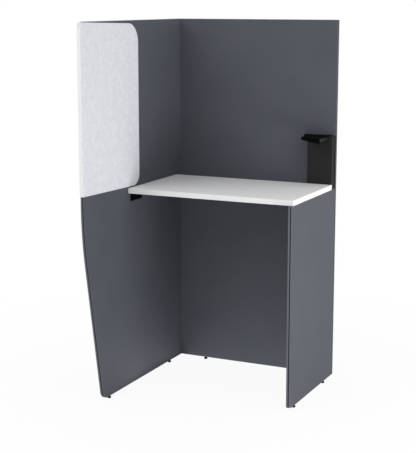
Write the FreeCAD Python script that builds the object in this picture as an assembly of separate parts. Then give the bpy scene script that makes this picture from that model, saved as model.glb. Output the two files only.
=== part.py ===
"""Standing-height office booth: three board panels, a worktop, a felt cover and a cable riser.

Millimetres, +Z up.  The origin is on the floor, in the middle of the booth's plan.
The open side of the booth looks along -Y and the tall side panel stands at -X.
"""
import math
import os

import FreeCAD
import Part

Vector = FreeCAD.Vector
Rotation = FreeCAD.Rotation

# Overall sizes of the boards
overall_width = 872.0
overall_depth = 1000.0
overall_height = 1800.0
panel_thickness = 15.0
band_thickness = 2.0
band_arris_radius = 1.0

# Tall left panel: its front edge is rounded at the top and leans back below a long bend
left_top_corner_radius = 32.0
left_bend_height = 830.0
left_bend_radius = 1500.0
left_bottom_setback = 150.0
left_bottom_corner_radius = 45.0

# Short right panel, under the worktop, with a slanted toe at its front
right_panel_depth = 595.0
right_toe_length = 34.0
right_toe_rise = 10.0

# Worktop, with a gap behind it for cables
desk_height = 1000.0
desk_thickness = 25.0
desk_depth = 520.0
cable_gap = 52.0
desk_side_gap = 2.0

# Felt cover folded over the front edge of the left panel
felt_thickness = 2.0
felt_top_drop = 2.5
felt_desk_gap = 2.5
felt_rear_fall = 13.0
felt_flap_length = 530.0
felt_top_corner_radius = 90.0
felt_low_corner_radius = 60.0
felt_fold_radius = 2.4
tape_thickness = 0.5
tape_width = 30.0
tape_inset = 60.0
tape_end_inset = 89.0
tape_count = 2

# Levelling feet: pad, stud and insert
foot_pad_radius = 9.0
foot_pad_height = 7.0
foot_pad_round = 1.5
foot_collar_width = 12.0
foot_collar_height = 5.0
foot_neck_radius = 2.5
foot_neck_length = 4.0
foot_stud_radius = 3.0
foot_stud_grip = 14.0
foot_travel = 10.0
foot_stud_length = foot_stud_grip + foot_travel
foot_stud_chamfer = 0.8
foot_insert_radius = 5.0
foot_insert_length = 28.0
foot_socket_spare = 0.6
left_foot_front_inset = 66.0
left_foot_rear_inset = 130.0
right_foot_front_inset = 81.0
right_foot_rear_inset = 112.0
back_foot_side_inset = 142.0

# Corner brackets under the worktop
bracket_length = 112.0
bracket_leg = 42.0
bracket_plate = 4.0
bracket_corner_radius = 5.0
bracket_front_inset = 24.0
bracket_rear_inset = 90.0
bracket_screw_pitch = 72.0
bracket_screw_offset = 21.0

# Wood screws, shared by the brackets, the riser and the tray
screw_shank_radius = 2.0
screw_shank_length = 11.0
screw_head_radius = 4.2
screw_head_height = 2.2
screw_head_round = 0.9
screw_recess_width = 1.0
screw_recess_length = 4.4
screw_recess_depth = 1.2

# Bolts and dowels that join the side panels to the back panel
bolt_shank_radius = 3.0
bolt_shank_length = 42.0
bolt_head_radius = 4.7
bolt_head_height = 3.0
bolt_socket_width = 4.0
bolt_socket_depth = 2.0
bolt_head_recess = 4.0
bolt_cap_radius = 5.0
bolt_cap_height = 0.9
nut_radius = 4.6
nut_length = 36.0
dowel_radius = 4.0
dowel_length = 38.0
dowel_back_depth = 9.0
left_bolt_height_shares = (0.04, 0.34, 0.66, 0.96)
left_dowel_height_shares = (0.18, 0.50, 0.82)
right_bolt_height_shares = (0.08, 0.50, 0.92)
right_dowel_height_shares = (0.28, 0.72)

# Cable riser behind the worktop and the tray that it carries
riser_width = 128.0
riser_right_inset = 3.0
riser_rise = 235.0
riser_sheet = 1.6
riser_fold_radius = 2.4
riser_front_gap = 1.0
riser_rear_gap = 10.0
riser_lid_thickness = 2.0
riser_screw_edge = 26.0
riser_flange = 24.0
tray_thickness = 2.5
tray_back_width = 146.0
tray_right_inset = 20.0
tray_right_depth = 190.0
tray_left_depth = 134.0
tray_front_taper = 44.0
tray_lip_right = 25.0
tray_lip_left = 15.0
tray_lip_thickness = 4.0
tray_lip_overhang = 16.0
tray_arm_height = 17.0
tray_arm_sheet = 2.0
tray_arm_inset = 6.0
tray_arm_setback = 8.0
tray_screw_length = 3.8
tray_screw_side = 28.0
tray_screw_rear = 25.0
tray_screw_front = 52.0

# Fits
hole_clearance = 0.1
running_clearance = 0.05
overrun = 2.0

# Places worked out from the sizes above
felt_stand = tape_thickness + felt_thickness
foot_overhang = foot_pad_radius - panel_thickness / 2
left_outer_x = -(overall_width + foot_overhang - felt_stand) / 2
left_inner_x = left_outer_x + panel_thickness
left_mid_x = left_outer_x + panel_thickness / 2
right_outer_x = left_outer_x + overall_width
right_inner_x = right_outer_x - panel_thickness
right_mid_x = right_outer_x - panel_thickness / 2
rear_y = (overall_depth + felt_stand - foot_overhang) / 2
wall_y = rear_y - panel_thickness
back_mid_y = rear_y - panel_thickness / 2
left_front_y = rear_y - overall_depth
left_bottom_y = left_front_y + left_bottom_setback
right_front_y = wall_y - right_panel_depth
desk_left_x = left_inner_x + desk_side_gap
desk_rear_y = wall_y - cable_gap
desk_front_y = desk_rear_y - desk_depth
desk_under_z = desk_height - desk_thickness
panel_bottom_z = foot_pad_height + foot_collar_height
felt_top_z = overall_height - felt_top_drop
felt_bottom_z = desk_height + felt_desk_gap + felt_rear_fall
riser_right_x = right_outer_x - riser_right_inset
riser_left_x = riser_right_x - riser_width
riser_front_y = desk_rear_y + riser_front_gap
riser_top_z = desk_height + riser_rise
tray_right_x = right_outer_x - tray_right_inset
tray_left_x = tray_right_x - tray_back_width
tray_top_z = riser_top_z + riser_lid_thickness + tray_thickness

AXIS_X = Vector(1, 0, 0)
AXIS_Y = Vector(0, 1, 0)
AXIS_Z = Vector(0, 0, 1)


def save(name, *solids):
    """Writes one node: a single solid, or a group of separate solids."""
    shape = solids[0] if len(solids) == 1 else Part.makeCompound(list(solids))
    shape.exportStep("parts/" + name + ".step")
    volume = sum(solid.Volume for solid in shape.Solids)
    print(name, len(shape.Solids), "solids", round(volume), "mm3", shape.isValid())


def block(low, high):
    """A box between two opposite corners."""
    size = high - low
    return Part.makeBox(size.x, size.y, size.z, low)


def rod(radius, length, start, axis):
    """A round bar that starts at a point and runs along an axis."""
    return Part.makeCylinder(radius, length, start, axis)


def edges_along(shape, axis, test):
    """Straight edges parallel to an axis whose middle point passes a test."""
    chosen = []
    for edge in shape.Edges:
        if isinstance(edge.Curve, Part.Line) and abs(edge.Curve.Direction.dot(axis)) > 1 - 1e-6:
            if test(edge.CenterOfMass):
                chosen.append(edge)
    return chosen


def arc_through(corner, before, after, radius):
    """Rounds the corner between two straight runs: start, middle and end of the tangent arc."""
    to_before = (before - corner).normalize()
    to_after = (after - corner).normalize()
    half = to_before.getAngle(to_after) / 2
    reach = radius / math.tan(half)
    bisector = (to_before + to_after).normalize()
    centre = corner + bisector * (radius / math.sin(half))
    return corner + to_before * reach, centre - bisector * radius, corner + to_after * reach


def rounded_outline(points, radii):
    """A closed wire through points, with each corner rounded to its radius, or sharp at zero."""
    count = len(points)
    entries = []
    exits = []
    edges = []
    for i in range(count):
        if radii[i] > 0:
            start, middle, end = arc_through(points[i], points[i - 1], points[(i + 1) % count], radii[i])
            edges.append((i, Part.Arc(start, middle, end).toShape()))
        else:
            start = end = points[i]
        entries.append(start)
        exits.append(end)
    rounded = dict(edges)
    path = []
    for i in range(count):
        if i in rounded:
            path.append(rounded[i])
        path.append(Part.LineSegment(exits[i], entries[(i + 1) % count]).toShape())
    return Part.Wire(path)


def board_and_band(points, radii, thickness, open_shift):
    """Splits a board into its core and the band glued round its edge.

    The outline lies on the board's first face and is thickened along the vector.  Where the
    board butts on another, open_shift carries the core through the band to that end.
    """
    outline = Part.Face(rounded_outline(points, radii))
    inner = outline.makeOffset2D(-band_thickness, 2)
    whole = outline.extrude(thickness)
    core = inner.extrude(thickness)
    if open_shift.Length > 0:
        core = core.fuse(core.translated(open_shift)).removeSplitter()
    band = whole.cut(core)
    return core.Solids[0], band.Solids[0]


def round_band(band, axis):
    """Eases the long arrises of a band: its outer edges, on the board's two faces."""
    box = band.BoundBox
    low = {0: box.XMin, 1: box.YMin, 2: box.ZMin}[axis]
    high = {0: box.XMax, 1: box.YMax, 2: box.ZMax}[axis]
    arris = []
    for edge in band.Edges:
        middle = edge.valueAt((edge.FirstParameter + edge.LastParameter) / 2)
        start = edge.valueAt(edge.FirstParameter)[axis]
        end = edge.valueAt(edge.LastParameter)[axis]
        level = abs(start - end) < running_clearance and abs(middle[axis] - start) < running_clearance
        on_face = min(abs(start - low), abs(start - high)) < running_clearance
        if level and on_face and touches_outside(band, edge, middle):
            arris.append(edge)
    return band.makeFillet(band_arris_radius, arris)


def touches_outside(band, edge, middle):
    """True for an edge of the band's outer side: a step outwards from it leaves the band's hull."""
    centre = band.BoundBox.Center
    tangent = edge.tangentAt((edge.FirstParameter + edge.LastParameter) / 2)
    across = tangent.cross(thin_axis(band))
    if across.dot(middle - centre) < 0:
        across = across * -1
    inside = middle - across.normalize() * (band_thickness / 2)
    return band.isInside(inside, band_thickness / 8, True)


def thin_axis(band):
    """The direction of a band's width, which is its board's thickness."""
    box = band.BoundBox
    lengths = ((box.XLength, AXIS_X), (box.YLength, AXIS_Y), (box.ZLength, AXIS_Z))
    return min(lengths, key=lambda pair: pair[0])[1]


def turned(shape, start, axis):
    """Moves a shape made along +Z at the origin so that it starts at a point and runs along an axis."""
    placed = shape.copy()
    placed.Placement = FreeCAD.Placement(start, Rotation(AXIS_Z, axis))
    return placed


def wood_screw(length):
    """A pan-head screw: its head sits above the origin plane and its shank runs down along -Z."""
    head = rod(screw_head_radius, screw_head_height, Vector(0, 0, 0), AXIS_Z)
    rim = [edge for edge in head.Edges if abs(edge.CenterOfMass.z - screw_head_height) < running_clearance
           and not isinstance(edge.Curve, Part.Line)]
    head = head.makeFillet(screw_head_round, rim)
    half_width = screw_recess_width / 2
    half_length = screw_recess_length / 2
    floor_z = screw_head_height - screw_recess_depth
    top_z = screw_head_height + overrun
    slot = block(Vector(-half_length, -half_width, floor_z), Vector(half_length, half_width, top_z))
    cross = block(Vector(-half_width, -half_length, floor_z), Vector(half_width, half_length, top_z))
    shank = rod(screw_shank_radius, length, Vector(0, 0, -length), AXIS_Z)
    return head.fuse(shank).cut(slot).cut(cross).removeSplitter()


def screw_hole(start, axis, length=screw_shank_length):
    """The hole for a screw's shank, from its seat into the piece; axis points out of the piece."""
    return rod(screw_shank_radius + hole_clearance, length + hole_clearance, start, axis * -1)


def cut_all(solid, tools):
    """Cuts a list of holes from a solid."""
    for tool in tools:
        solid = solid.cut(tool)
    return solid.Solids[0]


def panels():
    """The three panels, as cores and edge bands, before any hole is drilled."""
    top = overall_height
    bottom = panel_bottom_z
    across = Vector(panel_thickness, 0, 0)
    to_rear = Vector(0, band_thickness, 0)
    x = left_outer_x
    left_points = [Vector(x, wall_y, bottom), Vector(x, wall_y, top), Vector(x, left_front_y, top),
                   Vector(x, left_front_y, left_bend_height), Vector(x, left_bottom_y, bottom)]
    left_radii = [0, 0, left_top_corner_radius, left_bend_radius, left_bottom_corner_radius]
    left = board_and_band(left_points, left_radii, across, to_rear)
    x = right_inner_x
    right_points = [Vector(x, wall_y, bottom), Vector(x, wall_y, desk_under_z),
                    Vector(x, right_front_y, desk_under_z), Vector(x, right_front_y, bottom + right_toe_rise),
                    Vector(x, right_front_y + right_toe_length, bottom)]
    right = board_and_band(right_points, [0, 0, 0, 0, 0], across, to_rear)
    back_points = [Vector(left_outer_x, wall_y, bottom), Vector(left_outer_x, wall_y, top),
                   Vector(right_outer_x, wall_y, top), Vector(right_outer_x, wall_y, bottom)]
    back = board_and_band(back_points, [0, 0, 0, 0], Vector(0, panel_thickness, 0), Vector(0, 0, 0))
    return left, right, back


def worktop():
    """The white worktop: core and edge band."""
    z = desk_under_z
    points = [Vector(desk_left_x, desk_front_y, z), Vector(right_outer_x, desk_front_y, z),
              Vector(right_outer_x, desk_rear_y, z), Vector(desk_left_x, desk_rear_y, z)]
    return board_and_band(points, [0, 0, 0, 0], Vector(0, 0, desk_thickness), Vector(0, 0, 0))


def felt_cover():
    """The felt: a sheet folded over the panel's front edge, which it follows round the panel's top corner.

    Its two flaps fall a little towards the rear, and their rear corners are rounded.
    """
    inner_x0 = left_outer_x - tape_thickness
    inner_x1 = left_inner_x + tape_thickness
    outer_x0 = inner_x0 - felt_thickness
    outer_x1 = inner_x1 + felt_thickness
    inner_front_y = left_front_y - tape_thickness
    outer_front_y = inner_front_y - felt_thickness
    end_y = outer_front_y + felt_flap_length
    base = felt_bottom_z - felt_rear_fall
    outside = block(Vector(outer_x0, outer_front_y, base),
                    Vector(outer_x1, end_y, overall_height + felt_stand))
    brow = edges_along(outside, AXIS_X, lambda p: p.y < inner_front_y and p.z > felt_top_z)
    outside = outside.makeFillet(left_top_corner_radius + felt_stand, brow)
    folds = [edge for edge in outside.Edges if edge.BoundBox.XLength < running_clearance
             and edge.CenterOfMass.y < outer_front_y + left_top_corner_radius]
    outside = outside.makeFillet(felt_fold_radius, folds)
    inside = block(Vector(inner_x0, inner_front_y, base - overrun),
                   Vector(inner_x1, end_y + overrun, overall_height + tape_thickness))
    brow = edges_along(inside, AXIS_X, lambda p: p.y < left_front_y and p.z > felt_top_z)
    sheet = outside.cut(inside.makeFillet(left_top_corner_radius + tape_thickness, brow))
    corner_points = [Vector(outer_x0 - overrun, outer_front_y, felt_bottom_z),
                     Vector(outer_x0 - overrun, end_y, base),
                     Vector(outer_x0 - overrun, end_y, felt_top_z - felt_rear_fall),
                     Vector(outer_x0 - overrun, outer_front_y, felt_top_z)]
    outline = Part.Face(rounded_outline(corner_points, [0, felt_low_corner_radius, felt_top_corner_radius, 0]))
    return sheet.common(outline.extrude(Vector(outer_x1 - outer_x0 + 2 * overrun, 0, 0))).Solids[0]


def felt_tapes():
    """Upright strips of double-sided tape between the felt's flaps and the panel."""
    strips = []
    low_z = felt_bottom_z + tape_end_inset
    high_z = felt_top_z - tape_end_inset
    rear_start = left_front_y + felt_flap_length - felt_stand - tape_inset - tape_width
    span = rear_start - (left_front_y + tape_inset)
    for side_x in (left_outer_x - tape_thickness, left_inner_x):
        for i in range(tape_count):
            y = left_front_y + tape_inset + span * i / max(tape_count - 1, 1)
            strips.append(block(Vector(side_x, y, low_z),
                                Vector(side_x + tape_thickness, y + tape_width, high_z)))
    return strips


def foot_places():
    """Name and plan position of each levelling foot."""
    return {
        "left_front": Vector(left_mid_x, left_bottom_y + left_foot_front_inset, 0),
        "left_rear": Vector(left_mid_x, wall_y - left_foot_rear_inset, 0),
        "back_left": Vector(left_inner_x + back_foot_side_inset, back_mid_y, 0),
        "back_right": Vector(right_outer_x - back_foot_side_inset, back_mid_y, 0),
        "right_front": Vector(right_mid_x, right_front_y + right_foot_front_inset, 0),
        "right_rear": Vector(right_mid_x, wall_y - right_foot_rear_inset, 0),
    }


def foot_pad(place):
    """The pad on the floor, with a socket that holds the stud's neck."""
    pad = rod(foot_pad_radius, foot_pad_height, place, AXIS_Z)
    rims = [edge for edge in pad.Edges if not isinstance(edge.Curve, Part.Line)]
    pad = pad.makeFillet(foot_pad_round, rims)
    depth = foot_neck_length + foot_socket_spare
    socket = rod(foot_neck_radius + running_clearance, depth + overrun,
                 place + AXIS_Z * (foot_pad_height - depth), AXIS_Z)
    return pad.cut(socket).Solids[0]


def foot_stud(place):
    """The stud: a neck in the pad, a hexagon collar for a spanner and a threaded shank."""
    collar_z = foot_pad_height
    shank_z = collar_z + foot_collar_height
    neck = rod(foot_neck_radius, foot_neck_length, place + AXIS_Z * (collar_z - foot_neck_length), AXIS_Z)
    corner = foot_collar_width / 2 / math.cos(math.pi / 6)
    hexagon = [place + Vector(corner * math.cos(k * math.pi / 3), corner * math.sin(k * math.pi / 3), collar_z)
               for k in range(6)]
    collar = Part.Face(Part.makePolygon(hexagon + hexagon[:1])).extrude(AXIS_Z * foot_collar_height)
    straight = foot_stud_length - foot_stud_chamfer
    shank = rod(foot_stud_radius, straight, place + AXIS_Z * shank_z, AXIS_Z)
    tip = Part.makeCone(foot_stud_radius, foot_stud_radius - foot_stud_chamfer, foot_stud_chamfer,
                        place + AXIS_Z * (shank_z + straight), AXIS_Z)
    return neck.fuse(collar).fuse(shank).fuse(tip).removeSplitter().Solids[0]


def foot_insert(place):
    """The threaded sleeve pressed into the panel's bottom edge."""
    base = place + AXIS_Z * panel_bottom_z
    sleeve = rod(foot_insert_radius, foot_insert_length, base, AXIS_Z)
    return sleeve.cut(rod(foot_stud_radius + running_clearance, foot_insert_length + 2 * overrun,
                          base - AXIS_Z * overrun, AXIS_Z)).Solids[0]


def foot_hole(place):
    """The hole in the panel that takes the threaded sleeve."""
    return rod(foot_insert_radius + hole_clearance, foot_insert_length + overrun,
               place + AXIS_Z * (panel_bottom_z - overrun), AXIS_Z)


def bracket_starts():
    """Name, side and front end of each bracket under the worktop."""
    front = desk_front_y + bracket_front_inset
    rear = desk_rear_y - bracket_rear_inset - bracket_length
    return {"left_front": (1, front), "left_rear": (1, rear),
            "right_front": (-1, front), "right_rear": (-1, rear)}


def bracket(side, start_y):
    """A steel corner bracket with its two screw seats on each leg."""
    root_x = left_inner_x if side > 0 else right_inner_x
    low_z = desk_under_z - bracket_leg
    end_y = start_y + bracket_length
    points = [Vector(root_x, start_y, desk_under_z), Vector(root_x, start_y, low_z),
              Vector(root_x + side * bracket_plate, start_y, low_z),
              Vector(root_x + side * bracket_plate, start_y, desk_under_z - bracket_plate),
              Vector(root_x + side * bracket_leg, start_y, desk_under_z - bracket_plate),
              Vector(root_x + side * bracket_leg, start_y, desk_under_z)]
    angle = Part.Face(rounded_outline(points, [0, 0, 0, bracket_plate, 0, 0])).extrude(AXIS_Y * bracket_length)
    low_corners = edges_along(angle, AXIS_X, lambda p: abs(p.z - low_z) < running_clearance)
    far_x = root_x + side * bracket_leg
    far_corners = edges_along(angle, AXIS_Z, lambda p: abs(p.x - far_x) < running_clearance)
    angle = angle.makeFillet(bracket_corner_radius, low_corners + far_corners)
    panel_seats = []
    desk_seats = []
    for step in (-1, 1):
        y = (start_y + end_y + step * bracket_screw_pitch) / 2
        panel_seats.append((Vector(root_x + side * bracket_plate, y, desk_under_z - bracket_screw_offset),
                            AXIS_X * side))
        desk_seats.append((Vector(root_x + side * bracket_screw_offset, y, desk_under_z - bracket_plate),
                           AXIS_Z * -1))
    holes = [screw_hole(*seat) for seat in panel_seats + desk_seats]
    return cut_all(angle, holes), panel_seats, desk_seats


def joint_bolt(x, z):
    """A socket-head bolt let into the rear face of the back panel; it runs forward into the side panel."""
    head_y = rear_y - bolt_head_recess
    axis = AXIS_Y * -1
    head = rod(bolt_head_radius, bolt_head_height, Vector(x, head_y + bolt_head_height, z), axis)
    shank = rod(bolt_shank_radius, bolt_shank_length, Vector(x, head_y, z), axis)
    corner = bolt_socket_width / 2 / math.cos(math.pi / 6)
    socket_y = head_y + bolt_head_height - bolt_socket_depth
    hexagon = [Vector(x + corner * math.cos(k * math.pi / 3), socket_y, z + corner * math.sin(k * math.pi / 3))
               for k in range(6)]
    socket = Part.Face(Part.makePolygon(hexagon + hexagon[:1])).extrude(AXIS_Y * (bolt_socket_depth + overrun))
    return head.fuse(shank).removeSplitter().cut(socket).Solids[0]


def bolt_cap(x, z):
    """A thin cap that closes the bolt's hole, level with the rear face."""
    return rod(bolt_cap_radius, bolt_cap_height, Vector(x, rear_y, z), AXIS_Y * -1)


def bolt_holes(x, z):
    """The stepped hole in the back panel and the hole for the nut in the side panel's rear edge."""
    head_depth = bolt_head_recess
    wide = rod(bolt_cap_radius + hole_clearance, head_depth + overrun, Vector(x, rear_y + overrun, z), AXIS_Y * -1)
    through = rod(bolt_shank_radius + hole_clearance, panel_thickness + overrun,
                  Vector(x, rear_y, z), AXIS_Y * -1)
    nut = rod(nut_radius + hole_clearance, nut_length + hole_clearance, Vector(x, wall_y, z), AXIS_Y * -1)
    return [wide, through], [nut]


def joint_nut(x, z):
    """The threaded sleeve in the side panel's rear edge that takes the bolt."""
    sleeve = rod(nut_radius, nut_length, Vector(x, wall_y, z), AXIS_Y * -1)
    return sleeve.cut(rod(bolt_shank_radius + hole_clearance, nut_length + 2 * overrun,
                          Vector(x, wall_y + overrun, z), AXIS_Y * -1)).Solids[0]


def dowel(x, z, spare):
    """A beech dowel between the back panel and a side panel, or its hole where spare is above zero."""
    return rod(dowel_radius + spare, dowel_length + 2 * spare,
               Vector(x, wall_y + dowel_back_depth + spare, z), AXIS_Y * -1)


def riser_back_plate():
    """The steel plate that is screwed to the back panel, with a flange each side that the cover slides over."""
    plate = block(Vector(riser_left_x, wall_y - riser_sheet, desk_under_z),
                  Vector(riser_right_x, wall_y, riser_top_z))
    for x in (riser_left_x + riser_sheet, riser_right_x - 2 * riser_sheet):
        plate = plate.fuse(block(Vector(x, wall_y - riser_flange, desk_under_z),
                                 Vector(x + riser_sheet, wall_y, riser_top_z)))
    return plate.removeSplitter().Solids[0]


def riser_cover():
    """The folded steel cover: a front and two sides that stop short of the back panel, open below for cables."""
    rear = wall_y - riser_rear_gap
    outside = block(Vector(riser_left_x, riser_front_y, desk_under_z), Vector(riser_right_x, rear, riser_top_z))
    outside = outside.makeFillet(riser_fold_radius,
                                 edges_along(outside, AXIS_Z, lambda p: p.y < riser_front_y + riser_sheet))
    inside = block(Vector(riser_left_x + riser_sheet, riser_front_y + riser_sheet, desk_under_z - overrun),
                   Vector(riser_right_x - riser_sheet, rear + overrun, riser_top_z + overrun))
    return outside.cut(inside).Solids[0]


def riser_screw_seats():
    """Places of the four screws that hold the back plate."""
    seats = []
    for x in (riser_left_x + riser_screw_edge, riser_right_x - riser_screw_edge):
        for z in (desk_under_z + riser_screw_edge, riser_top_z - riser_screw_edge):
            seats.append((Vector(x, wall_y - riser_sheet, z), AXIS_Y * -1))
    return seats


def tray_screw_seats():
    """Places of the four screws under the riser's lid that hold the tray."""
    seats = []
    for x in (riser_left_x + tray_screw_side, tray_right_x - tray_screw_side):
        for y in (wall_y - tray_screw_rear, riser_front_y - tray_screw_front):
            seats.append((Vector(x, y, riser_top_z), AXIS_Z * -1))
    return seats


def tray_plan(inset):
    """The tray's four corners in plan, drawn in by an inset: rear left, rear right, front right, front left."""
    return (Vector(tray_left_x + inset, wall_y - inset, 0), Vector(tray_right_x - inset, wall_y - inset, 0),
            Vector(tray_right_x - inset, wall_y - tray_right_depth + inset, 0),
            Vector(tray_left_x + tray_front_taper + inset, wall_y - tray_left_depth + inset, 0))


def device_tray():
    """The black tray: a plate, with a lip below its front edge.

    The lip grows taller to the right, and its left end stands out past the plate as a hook.
    """
    base_z = tray_top_z - tray_thickness
    corners = [point + AXIS_Z * base_z for point in tray_plan(0)]
    plate = Part.Face(Part.makePolygon(corners + corners[:1])).extrude(AXIS_Z * tray_thickness)
    right, left = corners[2], corners[3]
    left = left + (left - right).normalize() * tray_lip_overhang
    face = [right + AXIS_Z * tray_thickness, left + AXIS_Z * tray_thickness,
            left - AXIS_Z * (tray_lip_left - tray_thickness), right - AXIS_Z * (tray_lip_right - tray_thickness)]
    inward = (left - right).cross(AXIS_Z).normalize() * tray_lip_thickness
    if inward.y < 0:
        inward = inward * -1
    lip = Part.Face(Part.makePolygon(face + face[:1])).extrude(inward)
    return plate.fuse(lip).removeSplitter().Solids[0]


def tray_bracket():
    """The steel lid of the riser, with two arms that carry the tray forward."""
    lid_z = riser_top_z + riser_lid_thickness
    lid = block(Vector(riser_left_x, riser_front_y, riser_top_z), Vector(riser_right_x, wall_y, lid_z))
    arm_low_z = lid_z - tray_arm_height
    plan = tray_plan(tray_arm_inset)
    right_x = plan[2].x
    left_x = plan[3].x
    arms = []
    for x, front in ((right_x - tray_arm_sheet, plan[2].y), (left_x, plan[3].y)):
        front_y = front + tray_arm_setback
        arms.append(block(Vector(x, front_y, arm_low_z), Vector(x + tray_arm_sheet, riser_front_y, lid_z)))
    shelf = [Vector(left_x, riser_front_y, riser_top_z), Vector(right_x, riser_front_y, riser_top_z),
             Vector(right_x, plan[2].y + tray_arm_setback, riser_top_z),
             Vector(left_x, plan[3].y + tray_arm_setback, riser_top_z)]
    web = Part.Face(Part.makePolygon(shelf + shelf[:1])).extrude(AXIS_Z * riser_lid_thickness)
    return lid.fuse(web).fuse(arms[0]).fuse(arms[1]).removeSplitter().Solids[0]


def main():
    os.makedirs("parts", exist_ok=True)
    (left_core, left_band), (right_core, right_band), (back_core, back_band) = panels()
    desk_core, desk_band = worktop()
    left_band = round_band(left_band, 0)
    right_band = round_band(right_band, 0)
    back_band = round_band(back_band, 1)
    desk_band = round_band(desk_band, 2)
    left_holes = []
    right_holes = []
    back_holes = []
    desk_holes = []

    screw = wood_screw(screw_shank_length)
    panel_screws = []
    desk_screws = []
    for name, (side, start_y) in bracket_starts().items():
        solid, panel_seats, desk_seats = bracket(side, start_y)
        save("desk_bracket_" + name, solid)
        panel_screws += [turned(screw, *seat) for seat in panel_seats]
        desk_screws += [turned(screw, *seat) for seat in desk_seats]
        (left_holes if side > 0 else right_holes).extend(screw_hole(*seat) for seat in panel_seats)
        desk_holes += [screw_hole(*seat) for seat in desk_seats]
    save("bracket_panel_screws", *panel_screws)
    save("bracket_desk_screws", *desk_screws)

    rise = overall_height - panel_bottom_z
    short_rise = desk_under_z - panel_bottom_z
    joints = (("left", left_mid_x, rise, left_bolt_height_shares, left_dowel_height_shares, left_holes),
              ("right", right_mid_x, short_rise, right_bolt_height_shares, right_dowel_height_shares, right_holes))
    for name, x, height, bolt_shares, dowel_shares, side_holes in joints:
        bolt_levels = [panel_bottom_z + share * height for share in bolt_shares]
        dowel_levels = [panel_bottom_z + share * height for share in dowel_shares]
        save("joint_bolts_" + name, *[joint_bolt(x, z) for z in bolt_levels])
        save("joint_bolt_caps_" + name, *[bolt_cap(x, z) for z in bolt_levels])
        save("joint_nuts_" + name, *[joint_nut(x, z) for z in bolt_levels])
        save("joint_dowels_" + name, *[dowel(x, z, 0) for z in dowel_levels])
        for z in bolt_levels:
            in_back, in_side = bolt_holes(x, z)
            back_holes += in_back
            side_holes += in_side
        for z in dowel_levels:
            back_holes.append(dowel(x, z, hole_clearance))
            side_holes.append(dowel(x, z, hole_clearance))

    inserts = []
    for name, place in foot_places().items():
        save("foot_pad_" + name, foot_pad(place))
        save("foot_stud_" + name, foot_stud(place))
        inserts.append(foot_insert(place))
        hole = foot_hole(place)
        if name.startswith("left"):
            left_holes.append(hole)
            left_band = left_band.cut(hole).Solids[0]
        elif name.startswith("right"):
            right_holes.append(hole)
            right_band = right_band.cut(hole).Solids[0]
        else:
            back_holes.append(hole)
            back_band = back_band.cut(hole).Solids[0]
    save("foot_inserts", *inserts)

    plate_seats = riser_screw_seats()
    plate_holes = [screw_hole(*seat) for seat in plate_seats]
    save("riser_back_plate", cut_all(riser_back_plate(), plate_holes))
    back_holes += plate_holes
    save("riser_screws", *[turned(screw, *seat) for seat in plate_seats])
    save("riser_cover", riser_cover())
    tray_seats = tray_screw_seats()
    tray_holes = [screw_hole(*seat, tray_screw_length) for seat in tray_seats]
    save("riser_tray_bracket", cut_all(tray_bracket(), tray_holes))
    save("device_tray", cut_all(device_tray(), tray_holes))
    tray_screw = wood_screw(tray_screw_length)
    save("tray_screws", *[turned(tray_screw, *seat) for seat in tray_seats])

    save("felt_cover", felt_cover())
    save("felt_tapes", *felt_tapes())
    save("left_panel", cut_all(left_core, left_holes))
    save("left_panel_edge_band", left_band)
    save("right_panel", cut_all(right_core, right_holes))
    save("right_panel_edge_band", right_band)
    save("back_panel", cut_all(back_core, back_holes))
    save("back_panel_edge_band", back_band)
    save("worktop", cut_all(desk_core, desk_holes))
    save("worktop_edge_band", desk_band)


main()
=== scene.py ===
# %% [markdown]
# # A standing-height office booth
# Three slate-grey boards make a corner to work in: a tall side panel, a back panel and a short end
# panel. A white worktop runs between the sides, light felt is folded over the tall panel's front
# edge, and a black cable riser with a small tray stands at the right end of the back panel.
# The boards, steel and fasteners come from CAD as finished shapes, so this lesson dresses them, and
# builds only what CAD leaves plain: the soft felt.

# %% Load the frame
import math

import bmesh
import bpy
import numpy as np
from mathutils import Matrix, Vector


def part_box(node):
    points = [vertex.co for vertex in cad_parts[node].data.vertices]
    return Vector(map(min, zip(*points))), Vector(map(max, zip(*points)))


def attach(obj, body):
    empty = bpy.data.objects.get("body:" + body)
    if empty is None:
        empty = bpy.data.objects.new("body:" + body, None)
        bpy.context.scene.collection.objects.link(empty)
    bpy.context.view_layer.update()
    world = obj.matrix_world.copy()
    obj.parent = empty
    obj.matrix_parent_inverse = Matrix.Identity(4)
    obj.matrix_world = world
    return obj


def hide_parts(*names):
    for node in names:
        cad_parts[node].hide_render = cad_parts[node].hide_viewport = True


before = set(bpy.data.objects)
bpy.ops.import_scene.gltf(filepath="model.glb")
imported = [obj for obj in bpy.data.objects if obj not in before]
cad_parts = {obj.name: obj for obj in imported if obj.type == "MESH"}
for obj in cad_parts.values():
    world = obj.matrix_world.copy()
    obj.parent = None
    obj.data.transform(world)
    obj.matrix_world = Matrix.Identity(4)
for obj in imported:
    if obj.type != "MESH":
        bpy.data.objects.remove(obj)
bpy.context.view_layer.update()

# %% [markdown]
# ## Camera
# The picture was taken from the front right, a little above the booth's top, with a long lens, so
# that upright edges stay nearly upright. The camera's place, turn and focal length were worked out
# from the picture's own edges, so here they are only written down. A camera could be aimed with a
# constraint, but plain numbers are easier to check.

# %% Camera at the picture's angle
IMAGE_LONG_SIDE, FOCAL_PIXELS, SENSOR_MM = 453.0, 1187.5, 36.0
CAMERA_PLACE = (2.3560, -5.0520, 1.8958)
# Degrees below the level, and degrees round from straight ahead
CAMERA_DIP, CAMERA_TURN = 10.816, 25.303

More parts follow.
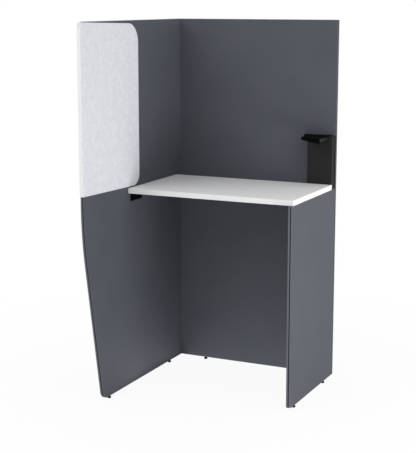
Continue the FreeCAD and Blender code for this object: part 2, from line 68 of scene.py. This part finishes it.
camera = bpy.data.objects.new("booth_camera", bpy.data.cameras.new("booth_camera"))
bpy.context.scene.collection.objects.link(camera)
camera.location = CAMERA_PLACE
camera.rotation_euler = (math.radians(90.0 - CAMERA_DIP), 0.0, math.radians(CAMERA_TURN))
camera.data.sensor_width = SENSOR_MM
camera.data.lens = FOCAL_PIXELS / IMAGE_LONG_SIDE * SENSOR_MM
bpy.context.scene.camera = camera
print("lens", round(camera.data.lens, 2), "mm")

# %% [markdown]
# ## Colour and nodes
# Colours are written as the hex values an eye would pick on a screen. Shaders work in linear light,
# so one function converts them. Another adds a node and fills its inputs, and a third turns a real
# size in millimetres into a texture's scale, so that every pattern below has a size that can be
# measured.

# %% Helpers for nodes
# The Mix node has sockets for each kind of data: here its share, two numbers and two colours.
SHARE, NUMBER_A, NUMBER_B, TONE_A, TONE_B = 0, 2, 3, 6, 7
NUMBER_OUT, TONE_OUT = 0, 2


def linear(colour):
    """Linear RGBA of a hex colour.

    Each channel c becomes c / 12.92 near black, and ((c + 0.055) / 1.055)^2.4 above that.
    """
    c = np.array([int(colour[i:i + 2], 16) for i in (1, 3, 5)]) / 255.0
    return (*np.where(c <= 0.04045, c / 12.92, ((c + 0.055) / 1.055) ** 2.4), 1.0)


def fill(tree, node, inputs):
    """Gives each input that is named a value, or a link where the value is another node's socket."""
    for key, value in inputs.items():
        if isinstance(value, bpy.types.NodeSocket):
            tree.links.new(value, node.inputs[key])
        else:
            node.inputs[key].default_value = value


def add(tree, kind, inputs=None, **settings):
    """Adds one node, sets its properties, then fills its inputs."""
    node = tree.nodes.new(kind)
    for key, value in settings.items():
        setattr(node, key, value)
    fill(tree, node, inputs or {})
    return node


def per_mm(size):
    """Texture scale whose features are this many millimetres wide on coordinates in metres."""
    return 1000.0 / size


print("slate", [round(v, 3) for v in linear("#54565d")])

# %% [markdown]
# ### Starting a finish
# Each finish below starts from an empty node material, and ends on the CAD pieces that it belongs
# to. The plain material that such a piece came with is taken off first.

# %% Helpers for finishes
def new_finish(name):
    """An empty node material: the material, its tree, its shader and the piece's own coordinates."""
    material = bpy.data.materials.new(name)
    material.use_nodes = True
    tree = material.node_tree
    return material, tree, tree.nodes["Principled BSDF"], add(tree, "ShaderNodeTexCoord")


def dress(material, *names):
    """Gives CAD nodes this material in place of the plain one they came with."""
    for name in names:
        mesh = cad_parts[name].data
        mesh.materials.clear()
        mesh.materials.append(material)
    print(material.name, "on", len(names), "nodes")


print("plain nodes to dress", len(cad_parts))

# %% [markdown]
# ## Melamine boards
# The panels and the worktop are particle board pressed between sheets of melamine paper, slate grey
# on the panels and white on the worktop. The press plate leaves a fine pearl texture, and the print
# is even, with only a faint cloudiness. A scan of a real board would do, but two sizes of noise are
# enough for so plain a print, and they need no unwrapping: a large one clouds the colour, and a
# small one gives the pearl in the gloss and the bump.

# %% Melamine finish
def pressed_melamine(name, light, dark, gloss, specular):
    """Pressed melamine paper: cloud and pearl mix two close tones, and pearl sets gloss and bump."""
    material, tree, shader, coords = new_finish(name)
    place = coords.outputs["Object"]
    cloud = add(tree, "ShaderNodeTexNoise",
                {"Vector": place, "Scale": per_mm(160.0), "Detail": 3.0}).outputs["Fac"]
    # The real pearl is about 0.5 mm; it is drawn at 6 mm so that it shows at this picture size.
    pearl = add(tree, "ShaderNodeTexNoise",
                {"Vector": place, "Scale": per_mm(6.0), "Detail": 2.0}).outputs["Fac"]
    both = add(tree, "ShaderNodeMix", {SHARE: 0.4, NUMBER_A: cloud, NUMBER_B: pearl})
    shade = add(tree, "ShaderNodeMapRange",
                {"Value": both.outputs[NUMBER_OUT], "From Min": 0.35, "From Max": 0.65})
    tone = add(tree, "ShaderNodeMix",
               {SHARE: shade.outputs[0], TONE_A: linear(dark), TONE_B: linear(light)},
               data_type="RGBA")
    dull = add(tree, "ShaderNodeMapRange", {"Value": pearl, "To Min": gloss[0], "To Max": gloss[1]})
    bump = add(tree, "ShaderNodeBump", {"Strength": 0.12, "Distance": 0.0004, "Height": pearl})
    fill(tree, shader, {"Base Color": tone.outputs[TONE_OUT], "Roughness": dull.outputs[0],
                        "Normal": bump.outputs["Normal"], "Specular IOR Level": specular})
    return material


dress(pressed_melamine("slate_melamine", light="#54565d", dark="#50525a", gloss=(0.58, 0.70),
                       specular=0.12), "left_panel", "back_panel", "right_panel")
dress(pressed_melamine("white_melamine", light="#f5f5f5", dark="#f1f1f2", gloss=(0.40, 0.52),
                       specular=0.3), "worktop")

# %% [markdown]
# ## Edge bands
# ABS tape, two millimetres thick, is glued round each board and its arrises are scraped round. A
# thin dark line of shade runs down each front edge, a few millimetres from the face on its right, as
# a narrow groove there would hold shadow. It could be a groove cut in CAD, but at this size only its
# tone shows, so the shade is painted as a dark shadow line, on one side only: the distance from the
# line's plane is the dot product of the point with the direction across the board, less the line's
# place. The normal along the same direction tells the flat from the arris, and the arris gets a
# painted highlight.

# %% Slate edge band finish
# Of these tones, the arris one is a painted highlight, and the last is painted shade: a dark line
# standing for the shadow in a narrow groove by the face.
BAND_LIGHT, BAND_DARK, BAND_ARRIS_HIGHLIGHT, BAND_SHADOW_LINE = "#6a6c72", "#65676e", "#72747b", "#141518"
SHADOW_LINE_INSET, SHADOW_LINE_HALF, SHADOW_LINE_BLUR = 0.0033, 0.0026, 0.0006


def abs_edge_band(name, across, shadow_line_at):
    """Scraped ABS tape: faint scraper marks, an arris painted lighter as a painted highlight, and a
    painted dark shadow line.

    The painted shadow line lies at the given distance along the direction across the board.
    """
    material, tree, shader, coords = new_finish(name)
    place, normal = coords.outputs["Object"], coords.outputs["Normal"]
    # Real scraper marks are under 1 mm; 5 mm lets them show.
    marks = add(tree, "ShaderNodeTexNoise",
                {"Vector": place, "Scale": per_mm(5.0), "Detail": 2.0}).outputs["Fac"]
    flat = add(tree, "ShaderNodeMix",
               {SHARE: marks, TONE_A: linear(BAND_DARK), TONE_B: linear(BAND_LIGHT)},
               data_type="RGBA")
    # The arris is picked out by its normal and painted lighter: a painted highlight on the rounded
    # edge.
    turn = add(tree, "ShaderNodeVectorMath", {0: normal, 1: across}, operation="DOT_PRODUCT")
    size = add(tree, "ShaderNodeMath", {0: turn.outputs["Value"]}, operation="ABSOLUTE")
    arris_highlight = add(tree, "ShaderNodeMapRange",
                {"Value": size.outputs[0], "From Min": 0.3, "From Max": 0.8})
    edge = add(tree, "ShaderNodeMix",
               {SHARE: arris_highlight.outputs[0], TONE_A: flat.outputs[TONE_OUT], TONE_B: linear(BAND_ARRIS_HIGHLIGHT)},
               data_type="RGBA")
    # Painted shadow line: points within a few millimetres of the line's plane take the dark tone.
    along = add(tree, "ShaderNodeVectorMath", {0: place, 1: across}, operation="DOT_PRODUCT")
    off = add(tree, "ShaderNodeMath", {0: along.outputs["Value"], 1: shadow_line_at}, operation="SUBTRACT")
    off = add(tree, "ShaderNodeMath", {0: off.outputs[0]}, operation="ABSOLUTE")
    clear = add(tree, "ShaderNodeMapRange", {"Value": off.outputs[0], "From Min": SHADOW_LINE_HALF,
                                             "From Max": SHADOW_LINE_HALF + SHADOW_LINE_BLUR})
    tone = add(tree, "ShaderNodeMix",
               {SHARE: clear.outputs[0], TONE_A: linear(BAND_SHADOW_LINE), TONE_B: edge.outputs[TONE_OUT]},
               data_type="RGBA")
    dull = add(tree, "ShaderNodeMapRange", {"Value": marks, "To Min": 0.42, "To Max": 0.55})
    fill(tree, shader, {"Base Color": tone.outputs[TONE_OUT], "Roughness": dull.outputs[0],
                        "Specular IOR Level": 0.15})
    return material


X_AXIS, Y_AXIS = (1.0, 0.0, 0.0), (0.0, 1.0, 0.0)
# Where each painted shadow line runs, a little in from one face of each band.
SHADOW_LINES = {
    "left": (X_AXIS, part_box("left_panel_edge_band")[1][0] - SHADOW_LINE_INSET),
    "right": (X_AXIS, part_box("right_panel_edge_band")[1][0] - SHADOW_LINE_INSET),
    "back": (Y_AXIS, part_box("back_panel_edge_band")[0][1] + SHADOW_LINE_INSET),
}
for side, (across, shadow_line_at) in SHADOW_LINES.items():
    dress(abs_edge_band(f"slate_abs_band_{side}", across, shadow_line_at), f"{side}_panel_edge_band")

# %% [markdown]
# ### White band
# The worktop's band is the same tape in white, with no seam, so the melamine's finish with a little
# more gloss is enough for it.

# %% White band
dress(pressed_melamine("white_abs_band", light="#ececec", dark="#e8e8e8", gloss=(0.36, 0.46),
                       specular=0.3), "worktop_edge_band")

# %% [markdown]
# ## Powder-coated steel
# The brackets, the riser and its lid are bent sheet steel. Powder coat melts into a skin with a
# slight orange peel, which softens its shine. The riser is a warm charcoal. The brackets are black.
# The riser's back plate is black too, as painted shade: it darkens the thin shadow gap that shows
# behind the riser's side. The peel could be modelled, but it is far finer than a pixel, so noise in
# the bump and the gloss stands for it.

# %% Powder coat finish
def powder_coat(name, light, dark, gloss):
    """Melted powder: orange peel in the bump and gloss, a faint speckle between two tones."""
    material, tree, shader, coords = new_finish(name)
    # Orange peel is 1 to 2 mm across; it is drawn at 3 mm so that it shows.
    peel = add(tree, "ShaderNodeTexNoise", {"Vector": coords.outputs["Object"],
                                            "Scale": per_mm(3.0), "Detail": 2.0}).outputs["Fac"]
    tone = add(tree, "ShaderNodeMix",
               {SHARE: peel, TONE_A: linear(dark), TONE_B: linear(light)}, data_type="RGBA")
    dull = add(tree, "ShaderNodeMapRange", {"Value": peel, "To Min": gloss[0], "To Max": gloss[1]})
    bump = add(tree, "ShaderNodeBump", {"Strength": 0.15, "Distance": 0.0004, "Height": peel})
    fill(tree, shader, {"Base Color": tone.outputs[TONE_OUT], "Roughness": dull.outputs[0],
                        "Normal": bump.outputs["Normal"], "Specular IOR Level": 0.06})
    return material


COAT_GLOSS = (0.57, 0.70)
dress(powder_coat("charcoal_powder_coat", "#2b2a2a", "#262525", COAT_GLOSS),
      "riser_cover", "riser_tray_bracket")
# The back plate's black is painted shade, for the dark gap behind the riser's side.
dress(powder_coat("black_powder_coat", "#030303", "#020202", COAT_GLOSS), "riser_back_plate",
      *[f"desk_bracket_{n}" for n in ("left_front", "left_rear", "right_front", "right_rear")])

# %% [markdown]
# ## Moulded plastic
# The tray, the foot pads and the bolt caps are moulded. A spark-eroded mould leaves a fine matt
# grain. Noise would blur it, so cells are used, which have the grain's small, separate pits.

# %% Moulded plastic finish
def moulded_plastic(name, light, dark, gloss):
    """Matt mould grain: the distance to the nearest cell in the bump, and two close tones."""
    material, tree, shader, coords = new_finish(name)
    # The mould grain is about 0.3 mm; it is drawn at 2 mm so that it shows.
    grain = add(tree, "ShaderNodeTexVoronoi", {"Vector": coords.outputs["Object"],
                                               "Scale": per_mm(2.0)}).outputs["Distance"]
    tone = add(tree, "ShaderNodeMix",
               {SHARE: grain, TONE_A: linear(light), TONE_B: linear(dark)}, data_type="RGBA")
    dull = add(tree, "ShaderNodeMapRange", {"Value": grain, "To Min": gloss[0], "To Max": gloss[1]})
    bump = add(tree, "ShaderNodeBump", {"Strength": 0.1, "Distance": 0.0003, "Height": grain})
    fill(tree, shader, {"Base Color": tone.outputs[TONE_OUT], "Roughness": dull.outputs[0],
                        "Normal": bump.outputs["Normal"], "Specular IOR Level": 0.05})
    return material


FEET = ("left_front", "left_rear", "back_left", "back_right", "right_front", "right_rear")
dress(moulded_plastic("black_moulded_plastic", "#040404", "#030303", (0.7, 0.82)),
      "device_tray", *[f"foot_pad_{n}" for n in FEET])
dress(moulded_plastic("slate_moulded_cap", "#565860", "#4f5159", (0.6, 0.72)),
      "joint_bolt_caps_left", "joint_bolt_caps_right")

# %% [markdown]
# ## Fasteners
# Bolts and sleeves are zinc-plated steel. The feet's studs and the screws in the black brackets and
# riser are blackened, to match what they hold. Either plating is a little cloudy, so one noise
# clouds both the tone and the gloss.

# %% Plated steel finishes
def plated_steel(name, bright, dim, gloss):
    """Cloudy plating: one noise mixes two tones of the metal and spreads its gloss."""
    material, tree, shader, coords = new_finish(name)
    # Plating clouds are a few millimetres wide, the size that shows on a screw head.
    bloom = add(tree, "ShaderNodeTexNoise", {"Vector": coords.outputs["Object"],
                                             "Scale": per_mm(3.0), "Detail": 3.0}).outputs["Fac"]
    tone = add(tree, "ShaderNodeMix",
               {SHARE: bloom, TONE_A: linear(dim), TONE_B: linear(bright)}, data_type="RGBA")
    dull = add(tree, "ShaderNodeMapRange", {"Value": bloom, "To Min": gloss[0], "To Max": gloss[1]})
    fill(tree, shader, {"Base Color": tone.outputs[TONE_OUT], "Roughness": dull.outputs[0],
                        "Metallic": 1.0})
    return material


dress(plated_steel("zinc_plated_steel", "#c6c8c9", "#a9abad", (0.28, 0.45)), "foot_inserts",
      "joint_bolts_left", "joint_bolts_right", "joint_nuts_left", "joint_nuts_right")
dress(plated_steel("blackened_steel", "#1c1c1e", "#101011", (0.45, 0.6)), "bracket_panel_screws",
      "bracket_desk_screws", "riser_screws", "tray_screws", *[f"foot_stud_{n}" for n in FEET])

# %% [markdown]
# ### Beech
# Dowels are turned from beech, whose short dark flecks run along the grain. A wood texture with
# rings would be far too large for a dowel, so noise stretched along its length draws the flecks.

# %% Beech dowels
beech, tree, shader, coords = new_finish("turned_beech")
# Beech flecks are about 1 mm across and 8 mm long. They run along the dowel, which lies along Y.
FLECK = (per_mm(1.0), per_mm(8.0), per_mm(1.0))
stretched = add(tree, "ShaderNodeMapping", {"Vector": coords.outputs["Object"], "Scale": FLECK})
flecks = add(tree, "ShaderNodeTexNoise", {"Vector": stretched.outputs[0], "Scale": 1.0,
                                          "Detail": 3.0}).outputs["Fac"]
tone = add(tree, "ShaderNodeMix",
           {SHARE: flecks, TONE_A: linear("#b98a5e"), TONE_B: linear("#d9b083")}, data_type="RGBA")
dull = add(tree, "ShaderNodeMapRange", {"Value": flecks, "To Min": 0.55, "To Max": 0.7})
fill(tree, shader, {"Base Color": tone.outputs[TONE_OUT], "Roughness": dull.outputs[0]})
dress(beech, "joint_dowels_left", "joint_dowels_right")

# %% [markdown]
# ## Felt tape
# Strips of double-sided cloth tape hold the felt to the panel. They show only as a thin edge from
# above, so a plain wave up the strip is enough for their threads.

# %% Double-sided cloth tape
woven, tree, shader, coords = new_finish("double_sided_cloth_tape")
# The Wave node repeats after this many of its units, so the scale of a spacing is multiplied by it.
WAVE_LENGTH = 2.0 * math.pi / 20.0
# The cloth's threads are 0.5 mm apart up the strip; they are drawn at 3 mm so that they show.
threads = add(tree, "ShaderNodeTexWave",
              {"Vector": coords.outputs["Object"], "Scale": per_mm(3.0) * WAVE_LENGTH,
               "Distortion": 1.0}, bands_direction="Z").outputs["Fac"]
tone = add(tree, "ShaderNodeMix",
           {SHARE: threads, TONE_A: linear("#c9c7c0"), TONE_B: linear("#dad8d2")}, data_type="RGBA")
bump = add(tree, "ShaderNodeBump", {"Strength": 0.4, "Distance": 0.0005, "Height": threads})
fill(tree, shader, {"Base Color": tone.outputs[TONE_OUT], "Normal": bump.outputs["Normal"],
                    "Roughness": 0.9})
dress(woven, "felt_tapes")

# %% [markdown]
# ## Felt cover
# The felt is a stiff sheet of pressed polyester, folded twice over the panel's front edge, with its
# two rear corners cut round. At the top it follows the rounded corner of the panel. It could be a
# flat grid with Solidify, but a cut felt edge is soft and rounded, so the sheet is made as a closed
# cross-section carried along the folded path instead: an upright strip with rounded rims, swept in
# plan round the panel's edge. Near each end of the path the strip gets shorter, which cuts the round
# corner, and at the very end it thins to nothing, which closes and rounds the rear rim.

# %% Path of the folded sheet
felt_low, felt_high = (np.array(v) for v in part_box("felt_cover"))
FELT_THICK, FELT_FOLD = 0.002, 0.0014
HALF = FELT_THICK / 2.0
FLAP_STEPS, FOLD_STEPS = 90, 9
# Samples crowd at the ends of the path: a little along each flap, and more over its last quarter.
CROWD_SHARE, CROWD_PART, CROWD_POWER = 0.15, 0.25, 0.9


def folded_path(x_in, x_out, y_front, y_end, radius):
    """Plan path of the sheet's middle: along one flap, two quarter turns, back along the other.

    Returns points, outward normals and the distance along the path.
    """
    ramp = np.linspace(0.0, 1.0, FLAP_STEPS)
    ease = ramp ** 3 * CROWD_SHARE + ramp * (1.0 - CROWD_SHARE)
    ease = np.where(ramp < CROWD_PART, ease * (ramp / CROWD_PART) ** CROWD_POWER, ease)
    run = y_end + (y_front + radius - y_end) * ease
    turn = np.linspace(0.0, np.pi / 2.0, FOLD_STEPS)[1:]
    flat = np.linspace(x_in - radius, x_out + radius, FOLD_STEPS)[1:]
    side = np.ones_like(run)
    x = np.concatenate([x_in * side, x_in - radius + radius * np.cos(turn), flat,
                        x_out + radius - radius * np.sin(turn), x_out * side[1:]])
    y = np.concatenate([run, y_front + radius - radius * np.sin(turn), np.full_like(flat, y_front),
                        y_front + radius - radius * np.cos(turn), run[::-1][1:]])
    nx = np.concatenate([side, np.cos(turn), np.zeros_like(flat), -np.sin(turn), -side[1:]])
    ny = np.concatenate([0.0 * side, -np.sin(turn), -np.ones_like(flat), -np.cos(turn),
                         0.0 * side[1:]])
    along = np.concatenate([[0.0], np.cumsum(np.hypot(np.diff(x), np.diff(y)))])
    return np.stack([x, y], 1), np.stack([nx, ny], 1), along


plan, outward, along = folded_path(felt_high[0] - HALF, felt_low[0] + HALF, felt_low[1] + HALF,
                                   felt_high[1], FELT_FOLD)
print("felt path", round(float(along[-1]), 4), "m in", len(along), "steps")

# %% [markdown]
# ### Cross-section
# The cross-section is a tall strip: up the outer face, over a rounded rim, down the inner face and
# round the bottom rim. The rim is a superellipse of power three, squarer than a circle, as a
# knife-cut felt edge is. Pressed felt is never quite flat, so a few long, shallow waves of a fifth
# of a millimetre move the whole sheet outwards. Over the panel's rounded top corner the front fold
# draws back along a circle, and the flaps are shortened to meet it.

# %% Felt surface
FELT_FALL, FELT_TOP_CORNER, FELT_LOW_CORNER = 0.013, 0.090, 0.060
FACE_STEPS, RIM_STEPS, RIM_POWER = 90, 7, 3.0
# Height of the sheet's waves, their radians per metre along the path and up, and where they start
WAVE_HEIGHT, WAVE_ALONG, WAVE_UP, WAVE_STARTS = 0.0002, 23.0, 17.0, (0.7, 0.4)
# The panel's top front corner, and the radius of the felt's middle over it and its tape
PANEL_TOP, PANEL_CORNER, TAPE_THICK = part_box("left_panel_edge_band")[1][2], 0.032, 0.0005
BROW = PANEL_CORNER + TAPE_THICK + HALF


def corner_drop(end, radius):
    """How far a cut edge drops at a rounded corner of radius R, at the distance e from the end.

    Within R of the end it drops by R - sqrt(R^2 - (R - e)^2).
    """
    inside = np.clip(radius - end, 0.0, radius)
    return radius - np.sqrt(radius ** 2 - inside ** 2)


def felt_strip(plan, outward, along, z_low, z_high):
    """Grid of the sheet: path + normal * offset, at a height between the cut's two edges.

    Rows crowd towards both edges by a sine. Both edges fall in proportion to the distance behind
    the front fold, and turn in at the rounded corners. Above the centre of the panel's top corner,
    at a rise h, the front draws back by R - sqrt(R^2 - h^2).
    """
    end = np.minimum(along, along[-1] - along)
    taper = (1.0 - np.clip(1.0 - end / HALF, 0.0, 1.0) ** RIM_POWER) ** (1.0 / RIM_POWER)
    rise = np.sin(np.linspace(-np.pi / 2.0, np.pi / 2.0, FACE_STEPS))
    angle = np.linspace(0.0, np.pi, RIM_STEPS + 2)[1:-1]
    lean = np.sign(np.cos(angle)) * np.abs(np.cos(angle)) ** (2.0 / RIM_POWER)
    over = np.sin(angle) ** (2.0 / RIM_POWER)
    level = np.concatenate([rise, np.ones_like(angle), rise[::-1], -np.ones_like(angle)])
    offset = np.concatenate([np.ones_like(rise), lean, -np.ones_like(rise), -lean])
    cap = np.concatenate([0.0 * rise, over, 0.0 * rise, -over])
    behind = (plan[:, 1] - plan[:, 1].min()) / np.ptp(plan[:, 1])
    upper = z_high - FELT_FALL * behind - corner_drop(end, FELT_TOP_CORNER)
    lower = z_low - FELT_FALL * behind + corner_drop(end, FELT_LOW_CORNER)
    half_height = (upper - lower) / 2.0 - HALF
    z = (upper + lower)[:, None] / 2.0 + half_height[:, None] * level[None, :] + HALF * cap[None, :]
    ripple = (np.sin(along[:, None] * WAVE_ALONG + WAVE_STARTS[0])
              * np.sin(z * WAVE_UP + WAVE_STARTS[1]))
    away = HALF * taper[:, None] * offset[None, :] + WAVE_HEIGHT * (1.0 + ripple) / 2.0
    sine = np.clip((z - (PANEL_TOP - PANEL_CORNER)) / BROW, 0.0, 1.0)
    cosine = np.sqrt(1.0 - sine ** 2)
    drawn_back = BROW * (1.0 - cosine) * (1.0 - behind[:, None])
    x = plan[:, 0:1] + outward[:, 0:1] * away
    y = plan[:, 1:2] + drawn_back + outward[:, 1:2] * away * cosine
    return np.stack([x, y, z - outward[:, 1:2] * away * sine], 2)


grid = felt_strip(plan, outward, along, felt_low[2] + FELT_FALL, felt_high[2])
print("felt grid", grid.shape)

# %% [markdown]
# ### Front strip, painted paler
# The strip across the panel's front edge is painted paler further on: painted light, for the
# stronger light that falls on it from the front. How far a point lies on it follows from its normal:
# one that points straight ahead is on the strip, and a high power keeps the rest out. Over the
# panel's rounded top corner the painted light fades out.

# %% Painted light on the front strip
# How much painted front light each point of the felt takes, from how straight ahead its normal
# points.
FRONT_LIGHT_POWER = 6
below = np.clip((PANEL_TOP - PANEL_CORNER / 2.0 - grid[:, :, 2]) / PANEL_CORNER * 2.0, 0.0, 1.0)
painted_front_light = np.clip(-outward[:, 1:2], 0.0, 1.0) ** FRONT_LIGHT_POWER * below
print("pulled tight", round(float((painted_front_light > 0.5).mean()), 3))

# %% [markdown]
# ### Closing the sheet
# The grid already closes on itself round the cross-section. At the two ends of the path the strip
# has thinned to a line, so its points there are merged, which shuts the sheet with no cap to fit.
# Each point also keeps its share of the painted front light.

# %% Felt mesh
MERGE_WITHIN = 1e-6


def closed_strip_mesh(name, grid, painted_front_light):
    """Mesh of a grid that closes on itself across its second direction, its ends merged shut."""
    rows, columns = grid.shape[:2]
    index = np.arange(rows * columns).reshape(rows, columns)
    near, far = index[:-1], index[1:]
    quads = np.stack([near, far, np.roll(far, -1, 1), np.roll(near, -1, 1)], 2).reshape(-1, 4)
    mesh = bpy.data.meshes.new(name)
    mesh.from_pydata(grid.reshape(-1, 3), [], quads)
    mesh.attributes.new("painted_front_light", "FLOAT", "POINT").data.foreach_set("value", painted_front_light.ravel())
    work = bmesh.new()
    work.from_mesh(mesh)
    bmesh.ops.remove_doubles(work, verts=work.verts, dist=MERGE_WITHIN)
    bmesh.ops.recalc_face_normals(work, faces=work.faces)
    print(name, "open edges", sum(edge.is_boundary for edge in work.edges),
          "volume", round(work.calc_volume() * 1e6), "cm3")
    work.to_mesh(mesh)
    work.free()
    mesh.polygons.foreach_set("use_smooth", np.ones(len(mesh.polygons), dtype=bool))
    return mesh


felt = bpy.data.objects.new("felt_sheet", closed_strip_mesh("felt_sheet", grid, painted_front_light))
bpy.context.scene.collection.objects.link(felt)
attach(felt, "booth")
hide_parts("felt_cover")
print("felt faces", len(felt.data.polygons))

# %% [markdown]
# ### Felt finish
# Pressed polyester felt is a mat of fine fibres of two or three greys. The eye sees a soft mottle
# that runs a little up and down, with loose fibres catching the light. Three sizes of noise give it:
# short upright streaks, blotches, and a fine fibre speck that also drives the bump. The strip across
# the front edge is painted paler than the flaps: painted light, for the stronger light that falls on
# it from the front.

# %% Pressed polyester felt
pressed, tree, shader, coords = new_finish("pressed_polyester_felt")
place = coords.outputs["Object"]
# Streaks of fibre are about 9 mm wide and 12 mm tall, and blotches about 38 mm wide.
STREAK = (per_mm(9.0), per_mm(9.0), per_mm(12.0))
upright = add(tree, "ShaderNodeMapping", {"Vector": place, "Scale": STREAK})
streaks = add(tree, "ShaderNodeTexNoise", {"Vector": upright.outputs[0], "Scale": 1.0,
                                           "Detail": 4.0, "Roughness": 0.6}).outputs["Fac"]
blotches = add(tree, "ShaderNodeTexNoise",
               {"Vector": place, "Scale": per_mm(38.0), "Detail": 2.0}).outputs["Fac"]
# Single fibres are far under 1 mm; clumps of 2.5 mm are the finest that show.
fibres = add(tree, "ShaderNodeTexNoise", {"Vector": place, "Scale": per_mm(2.5), "Detail": 3.0,
                                          "Distortion": 1.5}).outputs["Fac"]
soft = add(tree, "ShaderNodeMix", {SHARE: 0.35, NUMBER_A: streaks, NUMBER_B: blotches})
mottle = add(tree, "ShaderNodeMix",
             {SHARE: 0.3, NUMBER_A: soft.outputs[NUMBER_OUT], NUMBER_B: fibres})
spread = add(tree, "ShaderNodeMapRange",
             {"Value": mottle.outputs[NUMBER_OUT], "From Min": 0.36, "From Max": 0.64})
tone = add(tree, "ShaderNodeMix",
           {SHARE: spread.outputs[0], TONE_A: linear("#d1d2d7"), TONE_B: linear("#e4e5ea")},
           data_type="RGBA")
# The paler tone on the front strip is painted light, for the light that falls on it from the front.
strip = add(tree, "ShaderNodeAttribute", attribute_name="painted_front_light")
paler = add(tree, "ShaderNodeMix", {SHARE: strip.outputs["Fac"], TONE_A: tone.outputs[TONE_OUT],
                                    TONE_B: linear("#ebebed")}, data_type="RGBA")
bump = add(tree, "ShaderNodeBump", {"Strength": 0.35, "Distance": 0.0008, "Height": fibres})
fill(tree, shader, {"Base Color": paler.outputs[TONE_OUT], "Normal": bump.outputs["Normal"],
                    "Roughness": 0.95, "Specular IOR Level": 0.1, "Sheen Weight": 0.15})
felt.data.materials.append(pressed)
print(pressed.name, "on", felt.name)

# %% [markdown]
# ## Floor
# The floor is a pale matt sheet. For the camera and for reflections it is mostly plain white, with
# enough of its real shading left to keep the booth's soft shadow, and farther out it fades to the
# white of the world, so that no horizon shows. A shadow catcher would do too, but then the picture
# would need a second step.

# %% Floor sheet
FLOOR_HALF, FLOOR_LEVEL = 30.0, -0.0003
floor_mesh = bpy.data.meshes.new("studio_floor")
corners = np.array([[-1, -1], [1, -1], [1, 1], [-1, 1]]) * FLOOR_HALF
floor_mesh.from_pydata(np.column_stack([corners, np.full(4, FLOOR_LEVEL)]), [], [(0, 1, 2, 3)])
floor = bpy.data.objects.new("studio_floor", floor_mesh)
bpy.context.scene.collection.objects.link(floor)
print("floor", 2 * FLOOR_HALF, "m wide")

# %% [markdown]
# ### Floor paper
# Rays from the camera, off gloss and through glass see the plain white, and all other rays see the
# paper, so the floor throws back no more light than paper does.

# %% Floor paper
WHITE = (1.0, 1.0, 1.0, 1.0)
# The white's share near the booth, and the distances in metres between which it grows to all
WHITE_SHARE, FADE_FROM, FADE_TO = 0.93, 0.8, 2.4


def plainly_seen(tree):
    """1 for rays from the camera, off gloss or through glass, by the largest of the three."""
    path = add(tree, "ShaderNodeLightPath")
    seen = path.outputs["Is Camera Ray"]
    for kind in ("Is Glossy Ray", "Is Transmission Ray"):
        largest = add(tree, "ShaderNodeMath", {0: seen, 1: path.outputs[kind]}, operation="MAXIMUM")
        seen = largest.outputs[0]
    return seen


paper, tree, shader, coords = new_finish("studio_floor_paper")
fill(tree, shader, {"Base Color": linear("#f4f4f4"), "Roughness": 0.9, "Specular IOR Level": 0.0})
reach = add(tree, "ShaderNodeVectorMath", {0: coords.outputs["Object"]}, operation="LENGTH")
fade = add(tree, "ShaderNodeMapRange",
           {"Value": reach.outputs["Value"], "From Min": FADE_FROM, "From Max": FADE_TO,
            "To Min": WHITE_SHARE, "To Max": 1.0})
share = add(tree, "ShaderNodeMath", {0: plainly_seen(tree), 1: fade.outputs[0]},
            operation="MULTIPLY")
white = add(tree, "ShaderNodeEmission", {"Color": WHITE, "Strength": 1.0})
mix = add(tree, "ShaderNodeMixShader",
          {0: share.outputs[0], 1: shader.outputs[0], 2: white.outputs[0]})
fill(tree, tree.nodes["Material Output"], {"Surface": mix.outputs[0]})
floor_mesh.materials.append(paper)
print(paper.name, "on", floor.name)

# %% [markdown]
# ## World
# The booth stands in an even white studio. A white world lights every open face alike, and the booth
# shades itself where its boards close a corner, which gives the dark inner edges of the picture. For
# the camera and in reflections the world is full white, which adds no light to matt faces.

# %% World
WORLD_LEVEL = 0.80
world = bpy.data.worlds.new("studio_world")
bpy.context.scene.world = world
world.use_nodes = True
tree = world.node_tree
level = add(tree, "ShaderNodeMapRange",
            {"Value": plainly_seen(tree), "To Min": WORLD_LEVEL, "To Max": 1.0})
fill(tree, tree.nodes["Background"], {"Strength": level.outputs[0], "Color": WHITE})
bpy.context.scene.view_settings.view_transform = "Standard"
print("world level", WORLD_LEVEL)

# %% [markdown]
# ## Lamps
# A large soft lamp high at the front left lights the front edges and the upper part of the back
# panel, while the tall panel shades the rest of the inside from it. Another stands low on the right,
# and a bright card lies on the floor under the worktop, up to the back panel, because in the picture
# the panels get lighter towards the floor. The levels were matched to the brightness of each face.

# %% Lamps
def soft_lamp(name, place, target, size, power, depth=None):
    """An area lamp, its -Z turned to the target: a disc, or a rectangle where a depth is given."""
    lamp = bpy.data.objects.new(name, bpy.data.lights.new(name, "AREA"))
    bpy.context.scene.collection.objects.link(lamp)
    lamp.data.shape = "RECTANGLE" if depth else "DISK"
    lamp.data.size = size
    lamp.data.size_y = depth or size
    lamp.data.energy = power
    lamp.visible_camera = False
    lamp.location = place
    lamp.rotation_euler = (Vector(target) - Vector(place)).to_track_quat("-Z", "Y").to_euler()
    print(name, power, "W from", place)


soft_lamp("high_left_lamp", place=(-1.6, -3.0, 3.2), target=(0.2, 0.4, 1.5), size=2.0, power=29.0)
soft_lamp("low_right_lamp", place=(2.6, -0.5, 0.3), target=(0.2, 0.1, 0.3), size=1.2, power=35.5)

# The card fills the floor from the back panel forwards, between the side panels.
CARD_DEPTH, CARD_GAP, CARD_RISE = 0.65, 0.03, 0.01
card_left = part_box("left_panel")[1][0] + CARD_GAP
card_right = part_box("right_panel")[0][0]
card_x = (card_left + card_right) / 2.0
card_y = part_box("back_panel")[0][1] - CARD_DEPTH / 2.0
soft_lamp("floor_card", place=(card_x, card_y, CARD_RISE), target=(card_x, card_y, 1.0),
          size=card_right - card_left, power=1.7, depth=CARD_DEPTH)
